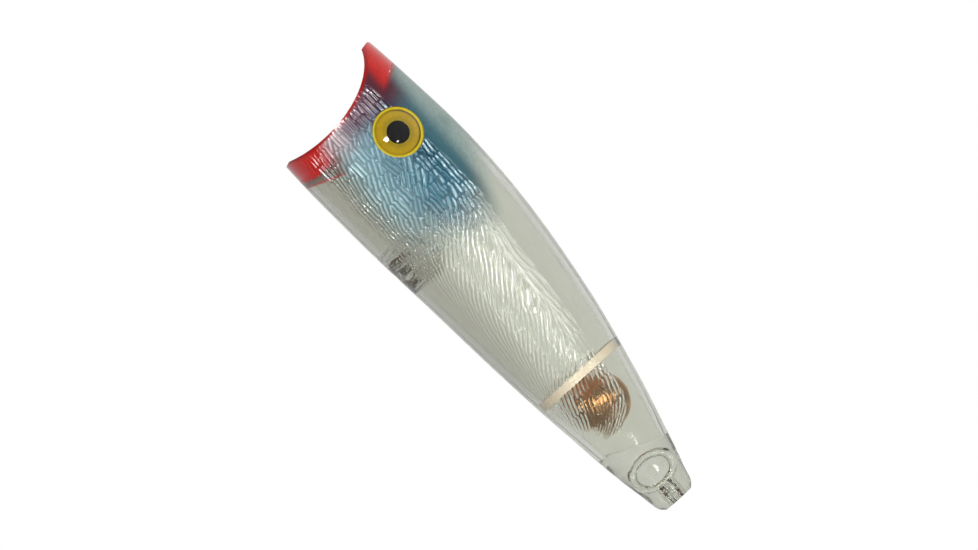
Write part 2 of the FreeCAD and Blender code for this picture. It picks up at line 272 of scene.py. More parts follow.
def half_form(name, stations, angles, side):
    # The outer form on one side, closed by a flat face SEAM away from the middle plane.
    points = girth_points(stations, angles, side, 0.0, True)
    points[:, 1] += side * SEAM
    rows, columns = len(stations), len(angles)
    faces = grid_faces(rows, columns, False)
    last = columns - 1
    for i in range(rows - 1):
        faces.append((i * columns + last, (i + 1) * columns + last, (i + 1) * columns, i * columns))
    faces.append(tuple(range(columns)))
    faces.append(tuple((rows - 1) * columns + j for j in reversed(range(columns))))
    if side < 0:
        faces = [tuple(reversed(f)) for f in faces]
    return make(name, points, faces)


def full_form(name, stations, angles, inset, ridged):
    # The whole form, inset from the outer one, with or without the relief.
    points = girth_points(stations, angles, 1, inset, ridged)
    rows, columns = len(stations), len(angles)
    faces = grid_faces(rows, columns, True)
    faces.append(tuple(range(columns)))
    faces.append(tuple((rows - 1) * columns + j for j in reversed(range(columns))))
    return make(name, points, faces)


def turned(name, outline, place, segments=96):
    # outline: (radius, height) pairs from the axis back to the axis, turned about local Z.
    points, rows = [], []
    for radius, height in outline:
        if radius < 1e-9:
            rows.append([len(points)])
            points.append((0.0, 0.0, height))
            continue
        rows.append(list(range(len(points), len(points) + segments)))
        for k in range(segments):
            a = 2 * math.pi * k / segments
            points.append((radius * math.cos(a), radius * math.sin(a), height))
    faces = []
    for low, high in zip(rows, rows[1:]):
        for k in range(segments):
            n = (k + 1) % segments
            if len(low) == 1:
                faces.append((low[0], high[n], high[k]))
            elif len(high) == 1:
                faces.append((low[k], low[n], high[0]))
            else:
                faces.append((low[k], low[n], high[n], high[k]))
    placed = [tuple(place @ Vector(p)) for p in points]
    return make(name, placed, faces)


def fluted(thing, origin, direction, flutes, depth):
    # Presses lengthwise flutes into a turned bar.
    points = vertex_array(thing) - np.array(origin)
    way = np.array(direction)
    along = points @ way
    out = points - along[:, None] * way
    side = np.cross(way, (0, 1, 0))
    turn = np.arctan2(out[:, 1], out @ side)
    out = out * (1 - depth * (0.5 + 0.5 * np.cos(flutes * turn)))[:, None]
    points = np.array(origin) + along[:, None] * way + out
    thing.data.vertices.foreach_set("co", points.ravel())
    return thing


def ball_outline(radius, steps=48):
    arc = [(-math.pi / 2 + math.pi * k / steps) for k in range(steps + 1)]
    inner = [(radius * math.cos(a), radius * math.sin(a)) for a in arc[1:-1]]
    return [(0, -radius)] + inner + [(0, radius)]


def bar_outline(radius, low, high):
    return [(0, low), (radius, low), (radius, high), (0, high)]


def ring(name, radius, wire, centre, around=72, across=20):
    # A torus whose axis is local Y.
    points = []
    for i in range(around):
        a = 2 * math.pi * i / around
        for j in range(across):
            b = 2 * math.pi * j / across
            reach = radius + wire * math.cos(b)
            points.append((
                centre[0] + reach * math.cos(a),
                centre[1] + wire * math.sin(b),
                centre[2] + reach * math.sin(a),
            ))
    faces = []
    for i in range(around):
        for j in range(across):
            n, m = (i + 1) % around, (j + 1) % across
            faces.append((i * across + j, i * across + m, n * across + m, n * across + j))
    return make(name, points, faces)


def towards(origin, direction):
    # A matrix that puts local Z along direction, at origin.
    turn = Vector(direction).to_track_quat("Z", "Y").to_matrix().to_4x4()
    return Matrix.Translation(Vector(origin)) @ turn


def combine(base, tools, operation):
    # Applies one boolean per tool and removes the tools.
    for tool in tools:
        step = base.modifiers.new("step", "BOOLEAN")
        step.operation = operation
        step.solver = "MANIFOLD"
        step.object = tool
        graph = bpy.context.evaluated_depsgraph_get()
        mesh = bpy.data.meshes.new_from_object(base.evaluated_get(graph))
        base.modifiers.clear()
        base.data = mesh
        if not mesh.polygons:
            raise RuntimeError(f"{tool.name} left nothing of {base.name}")
        bpy.data.objects.remove(tool)
    return base


def copy_of(thing, name):
    # combine() removes its tools, so a tool that is used twice is copied.
    twin = bpy.data.objects.new(name, thing.data.copy())
    bpy.context.scene.collection.objects.link(twin)
    return twin


def mouth_ball(name, radius):
    return turned(name, ball_outline(radius, 96), towards(BITE_CENTRE, MOUTH_AXIS), 192)


def ahead_of_mouth(name):
    return turned(name, bar_outline(FAR, -FAR, 0), towards(MOUTH_MIDDLE, MOUTH_AXIS))


def above_lip_tip(name):
    # Takes the sharp corner off the tip of the upper lip.
    return turned(name, bar_outline(FAR, 0, FAR), towards(LIP_CORNER - LIP_WAY * LIP_CUT, LIP_WAY))


def across(name, radius, at, height, low, high, segments=96):
    return turned(name, bar_outline(radius, low, high), towards((at, 0, height), (0, 1, 0)), segments)


def eye_matrix(side, depth):
    outward = Vector((0, side * math.cos(EYE_RISE), math.sin(EYE_RISE)))
    surface = Vector((EYE_AT, side * EYE_SIDE, EYE_HEIGHT))
    return towards(surface - outward * depth, outward)


def eye_socket(name, side):
    return turned(name, bar_outline(EYE_RADIUS + EYE_GAP, 0, FAR / 4), eye_matrix(side, EYE_SINK), 128)


# Shells. Angles and stations stand close together where the relief is.

FLANK = np.concatenate((
    (0, 0.006, 0.013, 0.022),
    np.linspace(0.04, 0.62, 11, endpoint=False),
    np.linspace(0.62, 2.50, 178, endpoint=False),
    np.linspace(2.50, math.pi - 0.04, 12, endpoint=False),
    (math.pi - 0.04, math.pi - 0.022, math.pi - 0.013, math.pi - 0.006, math.pi),
))
BODY_STATIONS = np.concatenate((
    np.linspace(-1.5, 2.0, 6, endpoint=False),
    np.linspace(2.0, 54.4, 390, endpoint=False),
    np.linspace(54.4, 62.0, 22, endpoint=False),
    np.linspace(62.0, 64.0, 16),
))
CAVITY_STATIONS = np.linspace(-2.0, 60.0, 100)
ROUND = np.linspace(0, 2 * math.pi, 112, endpoint=False)


def shell_space():
    # The space inside the walls, less the bosses that stand in it.
    space = full_form("space", CAVITY_STATIONS, ROUND, WALL, False)
    tail_way = (math.cos(TAIL_BOSS_LEAN), 0, -math.sin(TAIL_BOSS_LEAN))
    tail_place = towards((TAIL_BOSS_AT, 0, TAIL_BOSS_HEIGHT), tail_way)
    bosses = [
        across("belly_boss", BELLY_BOSS, BELLY_BOSS_AT, BELLY_BOSS_HEIGHT, -FAR / 2, FAR / 2),
        across("back_post", BACK_POST, BACK_POST_AT, BACK_POST_HEIGHT, -FAR / 2, FAR / 2),
        turned("tail_boss", bar_outline(FAR, 0, FAR), tail_place),
    ]
    for side in (-1, 1):
        outline = bar_outline(EYE_BOSS, 0, EYE_BOSS_DEEP)
        bosses.append(turned(f"eye_boss{side}", outline, eye_matrix(side, EYE_BOSS_DEEP)))
    return combine(space, bosses, "DIFFERENCE")


def neck_way(name, start, direction):
    # The straight way from a hanger's ring pocket to the outside.
    bar = turned(name, bar_outline(NECK, 0, FAR), towards(start, direction), 160)
    return fluted(bar, start, direction, NECK_FLUTES, FLUTE_SHARE)


def bulkhead_disc(name, grow, thickness):
    # An oval plate, or with grow the groove that it sits in.
    points, columns = [], 160
    for at in (BULKHEAD_AT - thickness / 2, BULKHEAD_AT + thickness / 2):
        for k in range(columns):
            a = 2 * math.pi * k / columns
            points.append((
                at,
                (BULKHEAD_WIDE + grow) * math.sin(a),
                BULKHEAD_HEIGHT + (BULKHEAD_TALL + grow) * math.cos(a),
            ))
    faces = grid_faces(2, columns, True)
    faces.append(tuple(range(columns)))
    faces.append(tuple(columns + j for j in reversed(range(columns))))
    return make(name, points, faces)


def pin_bars(name, grow, reach):
    # The locating pins of the right shell, or with grow and more reach their sockets in the left one.
    pins = (
        (PIN, BACK_POST_AT, BACK_POST_HEIGHT),
        (PIN, TAIL_RING_AT, 0.0),
        (BELLY_PIN, BELLY_RING_AT, BELLY_RING_HEIGHT),
    )
    return [
        across(f"{name}{index}", radius + grow, at, height, -reach, PIN_ROOT, 48)
        for index, (radius, at, height) in enumerate(pins)
    ]


def build_shell(name, side, space):
    # One half of the body: pins on the right one, sockets for them in the left one.
    shell = half_form(name, BODY_STATIONS, FLANK, side)
    tools = [
        copy_of(space, "space_copy"),
        mouth_ball("seat", BITE_RADIUS + CUP_WALL),
        ahead_of_mouth("ahead"),
        above_lip_tip("tip"),
        bulkhead_disc("groove", GROOVE_GAP, BULKHEAD_THICK + 2 * GROOVE_GAP),
        ring("tail_ring", TAIL_RING, WIRE, (TAIL_RING_AT, 0, 0)),
        neck_way("tail_neck", (TAIL_RING_AT + TAIL_RING, 0, 0), (1, 0, 0)),
        ring("belly_ring", BELLY_RING, WIRE, (BELLY_RING_AT, 0, BELLY_RING_HEIGHT)),
        neck_way("belly_neck", (BELLY_RING_AT, 0, BELLY_RING_HEIGHT - BELLY_RING), (0, 0, -1)),
        eye_socket("socket", side),
    ]
    if side < 0:
        tools += pin_bars("pin_socket", PIN_GAP, PIN_REACH + SOCKET_EXTRA)
        return combine(shell, tools, "DIFFERENCE")
    combine(shell, tools, "DIFFERENCE")
    return combine(shell, pin_bars("pin", 0.0, PIN_REACH), "UNION")


def build_cup():
    # A slice of the outer form between two balls, with a boss and a bore for the line tie.
    angles = np.concatenate((FLANK, 2 * math.pi - FLANK[-2:0:-1]))
    stations = np.concatenate((np.linspace(-1.5, 1.6, 8, endpoint=False), np.linspace(1.6, 12.0, 94)))
    cup = full_form("mouth_cup_look", stations, angles, 0.0, True)
    combine(cup, [mouth_ball("seat", BITE_RADIUS + CUP_WALL)], "INTERSECT")
    start = BITE_CENTRE + MOUTH_AXIS * (BITE_RADIUS + CUP_WALL / 2)
    outline = bar_outline(TIE_BOSS, 0, CUP_WALL / 2 + TIE_BOSS_REACH)
    boss = turned("tie_boss", outline, towards(start, MOUTH_AXIS))
    combine(cup, [boss], "UNION")
    bore_start = BITE_CENTRE + MOUTH_AXIS * (BITE_RADIUS - CUP_WALL)
    bore = bar_outline(TIE_BORE, 0, CUP_WALL + TIE_BORE_DEEP)
    tools = [
        mouth_ball("bite", BITE_RADIUS),
        ahead_of_mouth("ahead"),
        above_lip_tip("tip"),
        turned("tie_bore", bore, towards(bore_start, MOUTH_AXIS), 48),
        eye_socket("socket_left", -1),
        eye_socket("socket_right", 1),
    ]
    return combine(cup, tools, "DIFFERENCE")


def finish_mesh(thing, sharp):
    # To metres in the row frame, with smooth shading and creases above the sharp angle.
    thing.data.transform(Matrix.Scale(0.001, 4) @ Matrix.Translation((-LENGTH, 0, 0)))
    thing.data.shade_smooth()
    thing.data.set_sharp_from_angle(angle=math.radians(sharp))
    return thing


# Colours by place on the outer form

def mix(a, b, share):
    return a * (1 - share[:, None]) + b * share[:, None]


def linear(r, g, b):
    # A colour from its screen values, 0 to 255.
    c = np.array((r, g, b)) / 255
    return np.where(c < 0.04045, c / 12.92, ((c + 0.055) / 1.055) ** 2.4)


PALE_BLUE = linear(166, 206, 214)
FLANK_BLUE = linear(78, 136, 156)
DEEP_BLUE = linear(24, 88, 116)
SHOULDER_BLUE = linear(66, 136, 160)
GREY_TEAL = linear(74, 118, 130)
BACK_TEAL = linear(172, 202, 196)
MAUVE = linear(122, 74, 96)
DARK_MAUVE = linear(96, 44, 56)
# Pale pink of the painted highlight below the middle of the mouth.
PALE_PINK_HIGHLIGHT = linear(222, 196, 202)
RIM_PINK = linear(200, 104, 106)
SMOKE = linear(146, 138, 118)
# Brown of the painted shade over the belly boss.
BOSS_SHADE_BROWN = linear(112, 100, 78)
STREAK_BROWN = linear(66, 54, 42)
BELLY_SPOT_RED = linear(168, 104, 78)
BARE_BAND = linear(140, 120, 108)
LIP_RED = linear(218, 36, 31)
LIP_EDGE_RED = linear(176, 24, 22)
CUP_RED = linear(205, 30, 27)
# Pale blue of the painted highlight on the ridges of the relief.
CREST_HIGHLIGHT_BLUE = linear(205, 235, 242)
IRIS_YELLOW = linear(222, 182, 18)
INNER_YELLOW = linear(196, 166, 34)
RIM_YELLOW = linear(240, 214, 40)
# Olive of the painted shade inside the upper part of the iris rim.
CRESCENT_SHADE_OLIVE = linear(84, 66, 12)


def mouth_tint(at, z, coat):
    # Mauve above the middle of the mouth, a pale pink painted highlight below it, pink on the rim.
    mauve = mix(np.tile(MAUVE, (len(at), 1)), DARK_MAUVE, smooth(3.0, 6.5, z))
    coat = mix(coat, mauve, smooth(9.6, 5.2, at) * smooth(-2.5, 0.5, z) * smooth(9.0, 7.0, z))
    coat = mix(coat, PALE_PINK_HIGHLIGHT, smooth(9.8, 6.0, at) * smooth(0.8, -1.8, z))
    return mix(coat, RIM_PINK, 0.7 * smooth(5.8, 4.4, at) * smooth(2.5, 0.0, z))


def airbrush(at, z):
    # Blue behind the eye, teal on the back, with a faint smoky tone along the belly.
    coat = np.tile(PALE_BLUE, (len(at), 1))
    coat = mix(coat, FLANK_BLUE, smooth(-2.5, 2.5, z))
    coat = mix(coat, DEEP_BLUE, smooth(2.4, 5.0, z))
    coat = mix(coat, SHOULDER_BLUE, 0.65 * smooth(13.0, 18.0, at) * smooth(1.0, 2.6, z))
    coat = mix(coat, GREY_TEAL, smooth(5.6, 7.2, z))
    coat = mix(coat, BACK_TEAL, smooth(7.2, 9.4, z))
    coat = mouth_tint(at, z, coat)
    reach = at - 0.8 * smooth(1, 4, z) * smooth(8, 5, z)
    reach = reach + 1.8 * np.maximum(0, z - 7.2) + 0.5 * np.maximum(0, 2 - z)
    fade = 1 - smooth(17.5, 26.5, reach)
    cover = fade * smooth(-5.4, -1.5, z) * (0.95 - 0.25 * smooth(7, 9.5, z))
    smoke = 0.22 * smooth(-0.5, -5.0, z) * smooth(54, 40, at)
    coat = mix(coat, SMOKE, smoke / np.maximum(smoke + cover, 1e-6))
    return coat, cover + smoke * (1 - cover)


def belly_marks(at, z, coat, cover):
    # Painted shade over the belly boss, and dark brown streaks and a reddish-brown spot round the hole in the
    # belly.
    streaks = smooth(-0.2, 0.5, np.sin(11 * at + 5 * z) * np.sin(4.3 * at - 7 * z + 1))
    dark = 0.8 * smooth(2.0, 0.6, np.abs(at - 22.0)) * smooth(-5.0, -6.2, z) * streaks
    reddish_spot = 0.6 * smooth(1.8, 0.5, np.abs(at - 23.6)) * smooth(-6.3, -7.0, z) * (1 - 0.6 * streaks)
    # The tone over the boss is painted shade.
    boss = smooth(3.6, 2.6, np.hypot(at - 22.9, 0.8 * (z + 4.6))) * smooth(-6.6, -5.8, z)
    boss = boss * (0.14 + 0.30 * streaks)
    coat = mix(coat, BOSS_SHADE_BROWN, boss)
    coat = mix(coat, STREAK_BROWN, dark)
    coat = mix(coat, BELLY_SPOT_RED, reddish_spot)
    return coat, np.maximum.reduce((cover, boss, dark, reddish_spot))


def lips(at, z, coat, cover):
    # Red lips, with a thin bare band and a thin red line behind the lower one.
    edge = 7.36 + 0.30 * (z + 7.97)
    line = 7.94 + 0.40 * (z + 8.1)
    lower = smooth(-2.2, -4.4, z) * smooth(edge + 0.15, edge - 0.15 - 0.5 * np.clip(z + 6, 0, 2), at)
    band = smooth(-2.8, -4.2, z) * smooth(edge - 0.15, edge + 0.15, at) * smooth(line + 0.1, line - 0.1, at)
    thin = smooth(-3.0, -3.8, z) * smooth(0.16, 0.06, np.abs(at - line))
    upper = smooth(5.8, 7.4, z) * smooth(5.6, 4.4, at + 0.5 * (z - 7.5))
    coat = mix(coat, BARE_BAND, band)
    cover = np.maximum(cover, 0.9 * band)
    red = np.clip(lower + upper + 0.9 * thin, 0, 1)
    coat = mix(coat, LIP_RED, red)
    return coat, np.maximum(cover, 0.97 * red)


def paint(at, z):
    # Colour and cover of the coat on the outer form, 0 to 1.
    return lips(at, z, *belly_marks(at, z, *airbrush(at, z)))


# Materials

def new_material(name):
    material = bpy.data.materials.new(name)
    material.use_nodes = True
    material.node_tree.nodes.clear()
    return material, material.node_tree


def principled(tree, **values):
    made = tree.nodes.new("ShaderNodeBsdfPrincipled")
    for key, value in values.items():
        made.inputs[key.replace("_", " ")].default_value = value
    return made


def noise(tree, coordinates, scale, detail=4.0, rough=0.55):
    made = tree.nodes.new("ShaderNodeTexNoise")
    made.inputs["Scale"].default_value = scale
    made.inputs["Detail"].default_value = detail
    made.inputs["Roughness"].default_value = rough
    tree.links.new(coordinates.outputs["Object"], made.inputs["Vector"])
    return made


def ramp(tree, source, low, high, low_value, high_value):
    made = tree.nodes.new("ShaderNodeMapRange")
    made.inputs["From Min"].default_value = low
    made.inputs["From Max"].default_value = high
    made.inputs["To Min"].default_value = low_value
    made.inputs["To Max"].default_value = high_value
    tree.links.new(source, made.inputs["Value"])
    return made.outputs["Result"]


def math_node(tree, operation, first, second):
    made = tree.nodes.new("ShaderNodeMath")
    made.operation = operation
    tree.links.new(first, made.inputs[0])
    tree.links.new(second, made.inputs[1])
    return made.outputs[0]


def bump(tree, height, strength, distance):
    made = tree.nodes.new("ShaderNodeBump")
    made.inputs["Strength"].default_value = strength
    made.inputs["Distance"].default_value = distance
    tree.links.new(height, made.inputs["Height"])
    return made.outputs["Normal"]


def output(tree, shader):
    made = tree.nodes.new("ShaderNodeOutputMaterial")
    tree.links.new(shader, made.inputs["Surface"])


def tint_by(tree, colour, factor, dark):
    # Multiplies a colour by dark..1 as factor goes from 0 to 1.
    made = tree.nodes.new("ShaderNodeMix")
    made.data_type = "RGBA"
    made.blend_type = "MULTIPLY"
    made.inputs[0].default_value = 1.0
    grey = ramp(tree, factor, 0.3, 0.7, dark, 1.0)
    tree.links.new(colour, made.inputs[6])
    tree.links.new(grey, made.inputs[7])
    return made.outputs[2]


CLEAR_TINT = (*linear(240, 242, 233), 1)
WELD_TINT = (*linear(250, 250, 247), 1)


def see_through(tree, shader):
    # Lets light from lamps and from pale surfaces pass straight in, so that the parts inside are lit.
    ray = tree.nodes.new("ShaderNodeLightPath")
    either = math_node(tree, "MAXIMUM", ray.outputs["Is Shadow Ray"], ray.outputs["Is Diffuse Ray"])
    passing = tree.nodes.new("ShaderNodeBsdfTransparent")
    passing.inputs["Color"].default_value = (*linear(240, 240, 234), 1)
    made = tree.nodes.new("ShaderNodeMixShader")
    tree.links.new(either, made.inputs["Fac"])
    tree.links.new(shader, made.inputs[1])
    tree.links.new(passing.outputs[0], made.inputs[2])
    return made.outputs[0]


def weld_material():
    # The joint face between the shells: welded, so light crosses it without bending.
    material, tree = new_material("weld")
    place = tree.nodes.new("ShaderNodeTexCoord")
    broad = noise(tree, place, 700)
    plain = tree.nodes.new("ShaderNodeRGB")
    plain.outputs[0].default_value = WELD_TINT
    passing = tree.nodes.new("ShaderNodeBsdfTransparent")
    tree.links.new(tint_by(tree, plain.outputs[0], broad.outputs["Fac"], 0.96), passing.inputs["Color"])
    output(tree, passing.outputs[0])
    return material


def clear_plastic(name, airbrushed):
    material, tree = new_material(name)
    place = tree.nodes.new("ShaderNodeTexCoord")
    fine = noise(tree, place, 900)
    broad = noise(tree, place, 160)
    skin = bump(tree, fine.outputs["Fac"], 0.06, 0.0002)
    glass = principled(tree, Base_Color=CLEAR_TINT, Roughness=0.03, IOR=1.49, Transmission_Weight=1.0)
    tree.links.new(ramp(tree, broad.outputs["Fac"], 0.35, 0.7, 0.02, 0.07), glass.inputs["Roughness"])
    tree.links.new(skin, glass.inputs["Normal"])
    haze = principled(tree, Base_Color=(*linear(236, 236, 224), 1), Roughness=0.25, IOR=1.49)
    tree.links.new(skin, haze.inputs["Normal"])
    milky = tree.nodes.new("ShaderNodeMixShader")
    tree.links.new(ramp(tree, broad.outputs["Fac"], 0.3, 0.75, 0.015, 0.04), milky.inputs["Fac"])
    tree.links.new(glass.outputs[0], milky.inputs[1])
    tree.links.new(haze.outputs[0], milky.inputs[2])
    if not airbrushed:
        output(tree, see_through(tree, milky.outputs[0]))
        return material
    coat = tree.nodes.new("ShaderNodeAttribute")
    coat.attribute_name = "coat"
    cover = tree.nodes.new("ShaderNodeAttribute")
    cover.attribute_name = "cover"
    specks = noise(tree, place, 2600, 2.0)
    colour = tint_by(tree, coat.outputs["Color"], specks.outputs["Fac"], 0.82)
    colour = tint_by(tree, colour, broad.outputs["Fac"], 0.9)
    lacquer = principled(tree, Roughness=0.12, IOR=1.55, Specular_Tint=(0.72, 0.93, 1, 1))
    tree.links.new(colour, lacquer.inputs["Base Color"])
    tree.links.new(skin, lacquer.inputs["Normal"])
    layered = tree.nodes.new("ShaderNodeMixShader")
    tree.links.new(cover.outputs["Fac"], layered.inputs["Fac"])
    tree.links.new(milky.outputs[0], layered.inputs[1])
    tree.links.new(lacquer.outputs[0], layered.inputs[2])
    output(tree, see_through(tree, layered.outputs[0]))
    return material


def streaked_and_shaded_plastic():
    # Clear plastic with dark brown streaks: in the belly pocket, and as painted shade along the neck of the
    # tail pocket.
    material, tree = new_material("bore_streaks_and_shade")
    place = tree.nodes.new("ShaderNodeTexCoord")
    streaks = noise(tree, place, 1500, 3.0)
    brown = principled(tree, Base_Color=(*linear(60, 40, 26), 1), Roughness=0.4)
    glass = principled(tree, Base_Color=CLEAR_TINT, Roughness=0.05, IOR=1.49, Transmission_Weight=1.0)
    made = tree.nodes.new("ShaderNodeMixShader")
    tree.links.new(ramp(tree, streaks.outputs["Fac"], 0.42, 0.54, 0.1, 1.0), made.inputs["Fac"])
    tree.links.new(glass.outputs[0], made.inputs[1])
    tree.links.new(brown.outputs[0], made.inputs[2])
    output(tree, see_through(tree, made.outputs[0]))
    return material


def coloured(name, colour, rough, scale, dark=0.85, depth=0.00005, **more):
    # Gloss or matte plastic or plating with fine mottling and a slightly uneven skin.
    material, tree = new_material(name)
    place = tree.nodes.new("ShaderNodeTexCoord")
    fine = noise(tree, place, scale)
    broad = noise(tree, place, scale / 7)
    base = tree.nodes.new("ShaderNodeRGB")
    base.outputs[0].default_value = (*colour, 1)
    shader = principled(tree, **more)
    tinted = tint_by(tree, base.outputs[0], fine.outputs["Fac"], dark)
    tinted = tint_by(tree, tinted, broad.outputs["Fac"], (1 + dark) / 2)
    tree.links.new(tinted, shader.inputs["Base Color"])
    uneven = ramp(tree, broad.outputs["Fac"], 0.3, 0.7, rough * 0.8, rough * 1.25)
    tree.links.new(uneven, shader.inputs["Roughness"])
    tree.links.new(bump(tree, fine.outputs["Fac"], 0.2, depth), shader.inputs["Normal"])
    output(tree, shader.outputs[0])
    return material


def painted(name, scale, rough, gloss):
    # Lacquer whose colour comes from the mesh, with fine specks.
    material, tree = new_material(name)
    place = tree.nodes.new("ShaderNodeTexCoord")
    coat = tree.nodes.new("ShaderNodeAttribute")
    coat.attribute_name = "coat"
    specks = noise(tree, place, scale, 2.0)
    broad = noise(tree, place, scale / 8)
    colour = tint_by(tree, coat.outputs["Color"], specks.outputs["Fac"], 0.85)
    colour = tint_by(tree, colour, broad.outputs["Fac"], 0.92)
    shader = principled(tree, Roughness=rough, IOR=1.5, Coat_Weight=gloss, Coat_Roughness=0.05)
    tree.links.new(colour, shader.inputs["Base Color"])
    tree.links.new(bump(tree, broad.outputs["Fac"], 0.15, 0.0001), shader.inputs["Normal"])
    output(tree, shader.outputs[0])
    return material


def above_form(points):
    # Millimetres above the plain outer form, from row-frame positions in metres.
    at, y, z = points[:, 0] * 1000 + LENGTH, points[:, 1] * 1000, points[:, 2] * 1000
    centre, tall, wide = section(np.clip(at, -2, LENGTH))
    ratio = np.hypot(y / wide, (z - centre) / tall)
    steep = np.hypot(y / wide ** 2, (z - centre) / tall ** 2) / np.maximum(ratio, 0.01)
    return (ratio - 1) / np.maximum(steep, 0.01)


def on_outside(points):
    # True on the outer skin: its relief and seam groove stay less than DIP below the plain form.
    return above_form(points) > -DIP


def relief_shade_and_highlight(points, coat):
    # The coat is darkened as painted shade in the valleys of the relief and lightened towards pale blue as a
    # painted highlight on its ridges.
    at, z = points[:, 0] * 1000 + LENGTH, points[:, 2] * 1000
    crest = np.clip(above_form(points) / RIDGE_HEIGHT + 0.5, 0, 1)
    share = panel_share(at, z) * smooth(2.8, 5.2, at + 0.5 * z)
    coat = coat * (1 + share * (1.3 * crest - 0.66))[:, None]
    return mix(coat, CREST_HIGHLIGHT_BLUE, share * 0.4 * smooth(0.55, 0.95, crest))


def write_colour(thing, name, values):
    layer = thing.data.attributes.new(name, "FLOAT_COLOR", "POINT")
    layer.data.foreach_set("color", np.c_[values, np.ones(len(values))].astype(np.float32).ravel())


def write_value(thing, name, values):
    layer = thing.data.attributes.new(name, "FLOAT", "POINT")
    layer.data.foreach_set("value", np.asarray(values, np.float32))


def in_pockets(centres):
    # The belly pocket, and two lines of painted shade along the neck of the tail pocket.
    at, y, z = centres[:, 0] * 1000 + LENGTH, centres[:, 1] * 1000, centres[:, 2] * 1000
    belly = (np.hypot(at - BELLY_RING_AT, y) < 2.6) & (z < -4.2)
    neck_shade_lines = (np.abs(z - 0.5) < 0.12) | (np.abs(z + 0.45) < 0.16)
    return belly | ((np.hypot(y, z) < NECK + 0.1) & neck_shade_lines & (at > TAIL_RING_AT + TAIL_RING))


def dress_shell(thing):
    # Painted plastic outside, plain plastic inside, weld on the middle plane, dark brown streaks and painted
    # shade in the pockets.
    points = vertex_array(thing)
    at, z = points[:, 0] * 1000 + LENGTH, points[:, 2] * 1000
    coat, cover = paint(at, z)
    write_colour(thing, "coat", relief_shade_and_highlight(points, coat))
    write_value(thing, "cover", cover)
    thing.data.materials.clear()
    for material in (PAINTED, CLEAR, WELD, STREAKS_AND_SHADE):
        thing.data.materials.append(material)
    centres = np.zeros(len(thing.data.polygons) * 3)
    thing.data.polygons.foreach_get("center", centres)
    centres = centres.reshape(-1, 3)
    index = np.where(on_outside(centres), 0, 1)
    index = np.where(np.abs(centres[:, 1]) * 1000 < 2.5 * SEAM, 2, index)
    index = np.where((index == 1) & in_pockets(centres), 3, index)
    thing.data.polygons.foreach_set("material_index", index.astype(np.int32))


def dress_cup(thing):
    # Painted like the shells outside, red inside and darker red on the lip.
    points = vertex_array(thing)
    at, z = points[:, 0] * 1000 + LENGTH, points[:, 2] * 1000
    coat, _ = paint(at, z)
    coat = relief_shade_and_highlight(points, coat)
    from_mouth = np.linalg.norm(points * 1000 + np.array((LENGTH, 0, 0)) - np.array(BITE_CENTRE), axis=1)
    lip = smooth(0.3, 0.1, from_mouth - BITE_RADIUS)
    coat = mix(coat, LIP_EDGE_RED, lip)
    coat = mix(coat, CUP_RED, np.where(on_outside(points), 0.0, 1.0))
    write_colour(thing, "coat", coat)
    thing.data.materials.clear()
    thing.data.materials.append(painted("mouth_lacquer", 2400, 0.18, 0.5))


PAINTED = clear_plastic("clear_plastic_airbrushed", True)
CLEAR = clear_plastic("clear_plastic", False)
WELD = weld_material()
STREAKS_AND_SHADE = streaked_and_shaded_plastic()


def stands_for(thing, body, node):
    # Ties a look piece to its body and to the node that it stands for.
    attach(thing, body)
    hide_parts(node)
    return thing


hull_pieces, eye_pieces = [], []
space = shell_space()
for word, side in (("left", -1), ("right", 1)):
    shell = finish_mesh(build_shell(f"{word}_shell_look", side, space), 38)
    dress_shell(shell)
    hull_pieces.append(stands_for(shell, "lure_body", f"{word}_shell"))
bpy.data.objects.remove(space)

cup = finish_mesh(build_cup(), 38)
dress_cup(cup)
hull_pieces.append(stands_for(cup, "lure_body", "mouth_cup"))

# Bulkhead and ball

bulkhead = finish_mesh(bulkhead_disc("rattle_bulkhead_look", 0, BULKHEAD_THICK), 30)
bulkhead.data.materials.append(coloured("bulkhead_plastic", linear(250, 233, 220), 0.45, 1500, 0.92))
stands_for(bulkhead, "lure_body", "rattle_bulkhead")

ball_at = BULKHEAD_AT + BULKHEAD_THICK / 2 + BALL_RADIUS + BALL_GAP
ball_place = towards((ball_at, 0, BALL_HEIGHT), (1, 0, 0))
ball = finish_mesh(turned("rattle_ball_look", ball_outline(BALL_RADIUS, 64), ball_place, 128), 60)
ball.data.materials.append(coloured("copper_plating", (0.80, 0.43, 0.19), 0.11, 700, 0.45, Metallic=1.0))
stands_for(ball, "ball", "rattle_ball")

# Eyes

def dome_outline(radius, skirt, height, steps=24):
    sphere = (radius ** 2 + height ** 2) / (2 * height)
    centre = skirt + height - sphere
    arc = [(0, 0), (radius, 0), (radius, skirt)]
    first = math.asin(radius / sphere)
    for k in range(1, steps):
        a = first * (1 - k / steps)
        arc.append((sphere * math.sin(a), centre + sphere * math.cos(a)))
    return arc + [(0, skirt + height)]


def iris_outline():
    # A disc with a raised, rounded rim and a well for the pupil. The rings on its face carry colour.
    face, top = IRIS_THICKNESS, IRIS_THICKNESS + DOME_SKIRT
    rim = [(0.0, 0.08), (0.03, 0.02), (0.1, 0.0), (0.2, 0.0), (0.27, 0.05), (0.33, DOME_SKIRT - 0.04)]
    outline = [(0, 0), (EYE_RADIUS, 0)] + [(EYE_RADIUS - inset, top - drop) for inset, drop in rim]
    outline += [(radius, face) for radius in (2.64, 2.54, 2.44, 2.3, 1.9, 1.6, PUPIL_RADIUS)]
    return outline + [(PUPIL_RADIUS, face - PUPIL_THICKNESS), (0, face - PUPIL_THICKNESS)]


def lens_material():
    material, tree = new_material("eye_lens")
    place = tree.nodes.new("ShaderNodeTexCoord")
    fine = noise(tree, place, 500)
    glass = principled(tree, Base_Color=(1, 1, 1, 1), Roughness=0.0, IOR=1.5, Transmission_Weight=1.0)
    tree.links.new(ramp(tree, fine.outputs["Fac"], 0.3, 0.7, 0.0, 0.03), glass.inputs["Roughness"])
    output(tree, see_through(tree, glass.outputs[0]))
    return material


